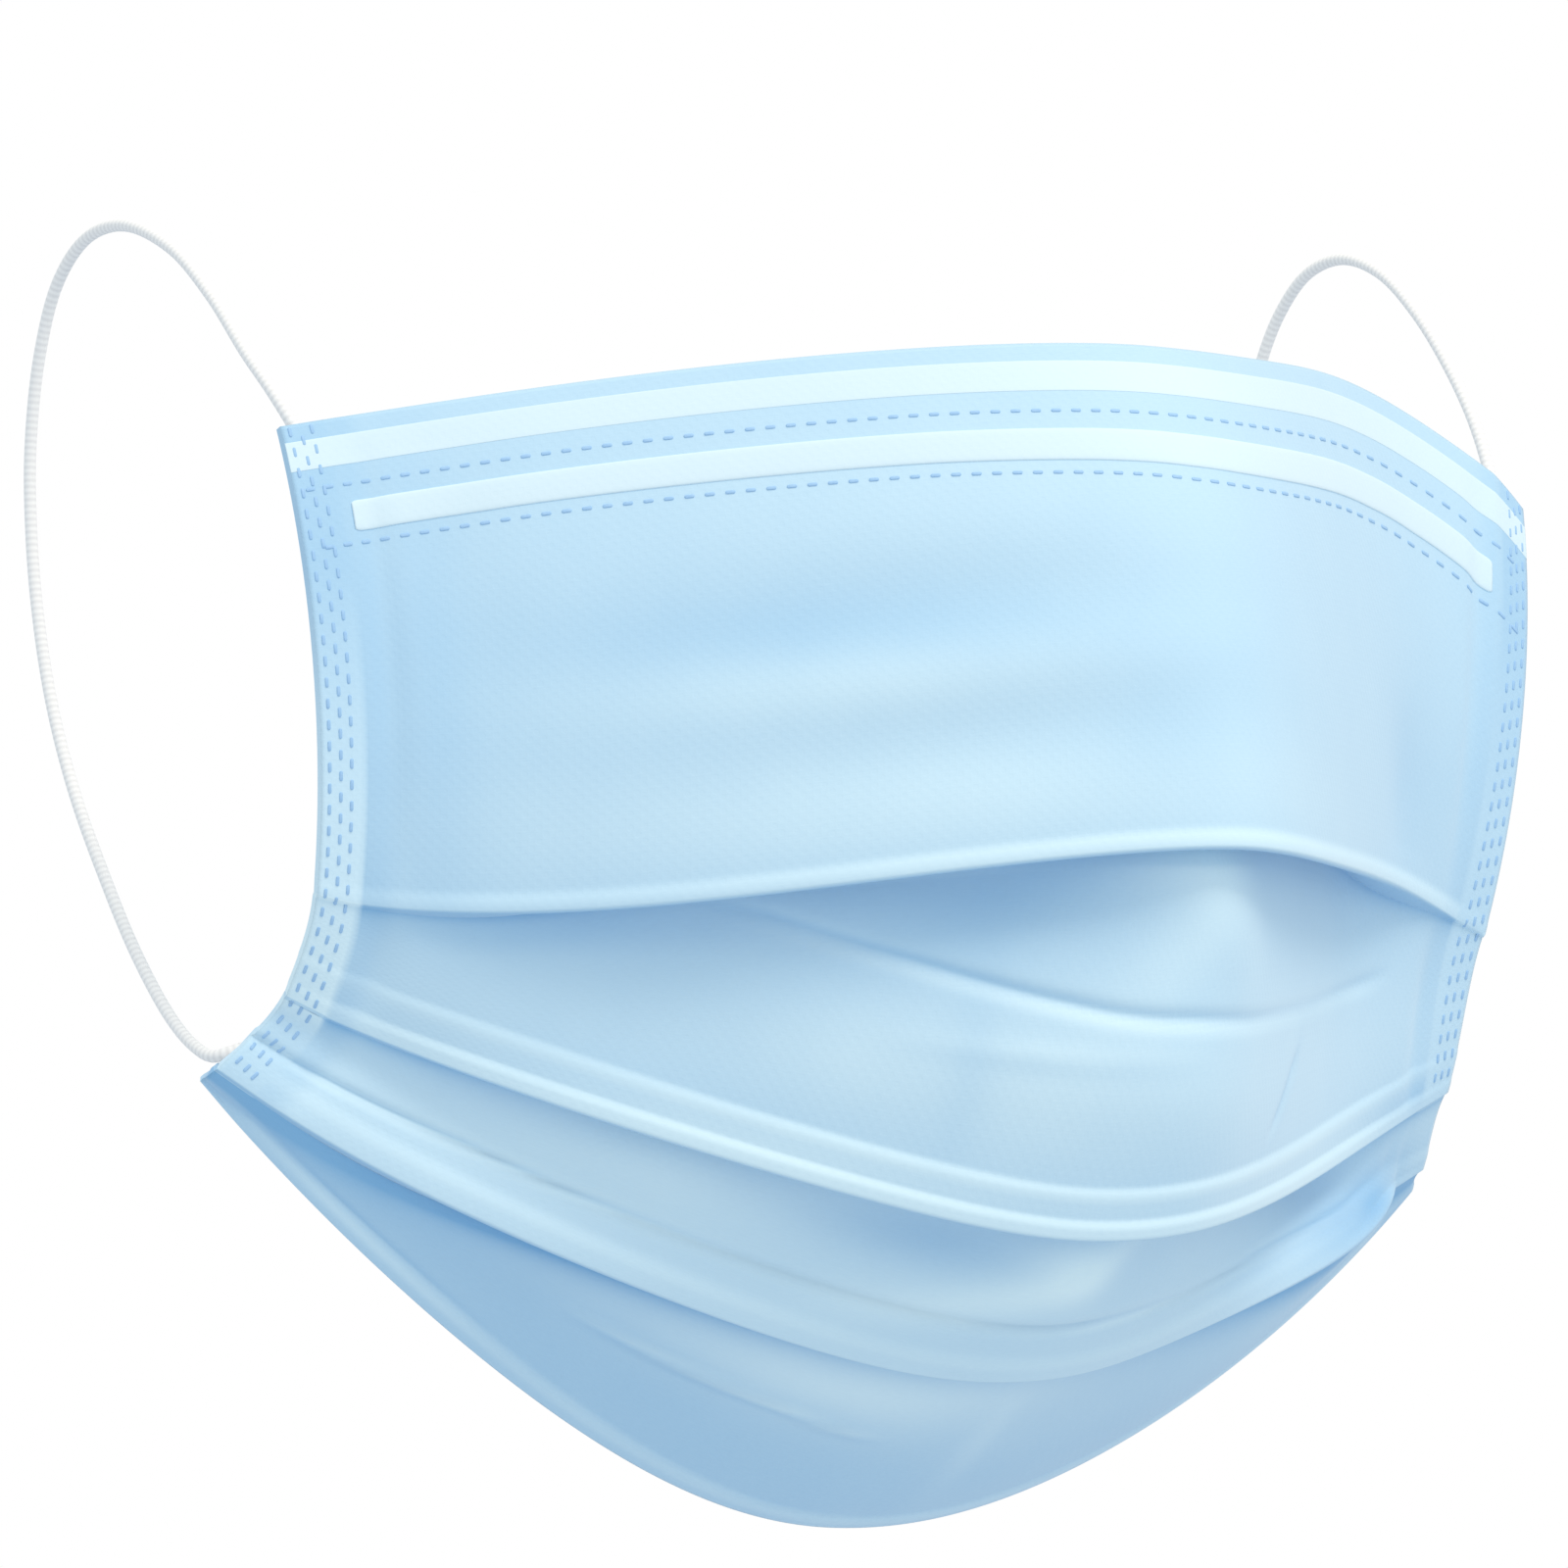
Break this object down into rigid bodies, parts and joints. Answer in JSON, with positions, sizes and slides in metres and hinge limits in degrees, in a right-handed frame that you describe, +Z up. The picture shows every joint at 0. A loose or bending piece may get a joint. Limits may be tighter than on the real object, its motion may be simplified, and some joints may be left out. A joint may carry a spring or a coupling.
{
  "type": "pleated face mask",
  "caption": "Pleated nonwoven face mask in its worn, forward-bowed shape, with overhanging pleats, welded side margins, hem band, nose strip and round elastic ear loops",
  "frame": {"origin": "on the inner side of the top edge, in its middle, where the mask sits on the bridge of the nose", "axes": "+X from the left end of the picture to the right end, along the width; +Y from the front of the mask back towards the face; +Z up"},
  "size_m": [0.1509, 0.0931, 0.131],
  "materials": {
    "cloth": "matt light blue spunbond nonwoven",
    "pale_strip": "matt, paler than the cloth",
    "elastic": "matt white knitted elastic"
  },
  "bodies": {
    "root": {"pleated_panel": "cloth", "top_hem_band": "pale_strip", "nose_wire": "pale_strip", "ear_loop_left": "elastic", "ear_loop_right": "elastic"}
  },
  "joints": []
}
